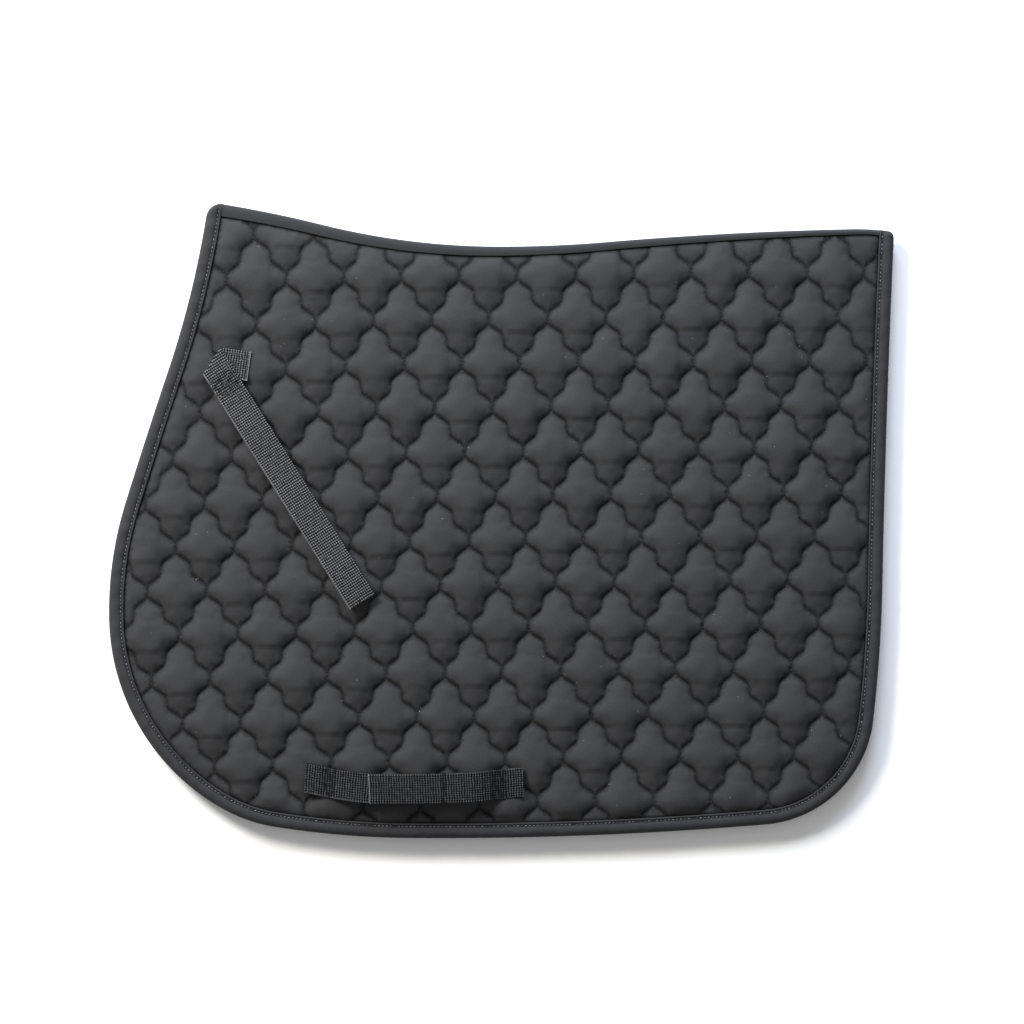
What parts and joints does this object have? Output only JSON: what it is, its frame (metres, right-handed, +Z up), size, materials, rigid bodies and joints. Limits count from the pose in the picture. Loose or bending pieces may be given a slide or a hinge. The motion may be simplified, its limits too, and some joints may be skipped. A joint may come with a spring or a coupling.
{
  "type": "saddle pad",
  "caption": "Quilted saddle pad lying folded along its spine, with bound edges, a hook-and-loop billet strap and a girth loop on each half.",
  "frame": {"origin": "middle of the folded pad's outline, on the surface that the off half lies on", "axes": "+X from the withers to the loin, +Y from the hem up to the spine, +Z up through the thickness, near half on top"},
  "size_m": [0.6694, 0.5409, 0.0282],
  "materials": {
    "quilted_cover": "matt quilted cotton twill",
    "lining": "matt quilted mesh knit",
    "wadding": "soft polyester fill",
    "binding": "dense woven tape, slight sheen",
    "webbing": "ribbed polypropylene webbing, slight sheen",
    "hook_tape": "fine plastic hooks, matt",
    "loop_tape": "brushed loop pile",
    "thread": "spun polyester sewing thread"
  },
  "bodies": {
    "off_half": {"off_outer_cover": "quilted_cover", "off_wadding": "wadding", "off_lining": "lining", "off_edge_binding": "binding", "off_binding_stitching": "thread", "off_billet_tab": "webbing", "off_billet_tab_stitching": "thread", "off_girth_front_anchor": "webbing", "off_girth_rear_anchor": "webbing", "off_girth_stitching": "thread", "spine_tape": "binding"},
    "off_billet": {"off_billet_strap": "webbing", "off_billet_loop_tape": "loop_tape"},
    "off_billet_tip": {"off_billet_strap_end": "webbing", "off_billet_hook_tape": "hook_tape"},
    "off_girth_rear": {"off_girth_rear_tab": "webbing", "off_girth_loop_tape": "loop_tape"},
    "off_girth_front": {"off_girth_front_tab": "webbing", "off_girth_hook_tape": "hook_tape"},
    "near_half": {"near_outer_cover": "quilted_cover", "near_wadding": "wadding", "near_lining": "lining", "near_edge_binding": "binding", "near_binding_stitching": "thread", "near_billet_tab": "webbing", "near_billet_tab_stitching": "thread", "near_girth_front_anchor": "webbing", "near_girth_rear_anchor": "webbing", "near_girth_stitching": "thread"},
    "near_billet": {"near_billet_strap": "webbing", "near_billet_loop_tape": "loop_tape"},
    "near_billet_tip": {"near_billet_strap_end": "webbing", "near_billet_hook_tape": "hook_tape"},
    "near_girth_rear": {"near_girth_rear_tab": "webbing", "near_girth_loop_tape": "loop_tape"},
    "near_girth_front": {"near_girth_front_tab": "webbing", "near_girth_hook_tape": "hook_tape"}
  },
  "joints": [
    {"name": "spine_fold", "type": "hinge", "parent": "off_half", "child": "near_half", "pos_m": [0, 0.2618, 0.01], "axis": [-0.9992, 0.0401, 0], "range_deg": [0, 120], "deforming": ["spine_tape"]},
    {"name": "near_billet_swing", "type": "hinge", "parent": "near_half", "child": "near_billet", "pos_m": [-0.2452, 0.1354, 0.0214], "axis": [-0.5446, -0.8387, 0], "range_deg": [0, 170]},
    {"name": "near_billet_close", "type": "hinge", "parent": "near_billet", "child": "near_billet_tip", "pos_m": [-0.19287, 0.05165, 0.02065], "axis": [-0.848, -0.5299, 0], "range_deg": [-175, 0]},
    {"name": "near_girth_rear_lift", "type": "hinge", "parent": "near_half", "child": "near_girth_rear", "pos_m": [0.00416, -0.22217, 0.02135], "axis": [-0.0401, 0.9992, 0], "range_deg": [0, 150]},
    {"name": "near_girth_front_lift", "type": "hinge", "parent": "near_half", "child": "near_girth_front", "pos_m": [-0.15288, -0.21939, 0.02135], "axis": [-0.0698, -0.9976, 0], "range_deg": [0, 53.5]},
    {"name": "off_billet_swing", "type": "hinge", "parent": "off_half", "child": "off_billet", "pos_m": [-0.2452, 0.1354, 0.0016], "axis": [0.5446, 0.8387, 0], "range_deg": [0, 170]},
    {"name": "off_billet_close", "type": "hinge", "parent": "off_billet", "child": "off_billet_tip", "pos_m": [-0.19287, 0.05165, 0.00235], "axis": [0.848, 0.5299, 0], "range_deg": [-175, 0]},
    {"name": "off_girth_rear_lift", "type": "hinge", "parent": "off_half", "child": "off_girth_rear", "pos_m": [0.00416, -0.22217, 0.00325], "axis": [0.0401, -0.9992, 0], "range_deg": [0, 150]},
    {"name": "off_girth_front_lift", "type": "hinge", "parent": "off_half", "child": "off_girth_front", "pos_m": [-0.15288, -0.21939, 0.00325], "axis": [0.0698, 0.9976, 0], "range_deg": [0, 53.5]}
  ],
  "couplings": [
    {"joint": "near_billet_close", "follows": "near_billet_swing", "ratio": -1.02},
    {"joint": "near_girth_front_lift", "follows": "near_girth_rear_lift", "ratio": 0.35},
    {"joint": "off_billet_close", "follows": "off_billet_swing", "ratio": -1.02},
    {"joint": "off_girth_front_lift", "follows": "off_girth_rear_lift", "ratio": 0.35}
  ]
}
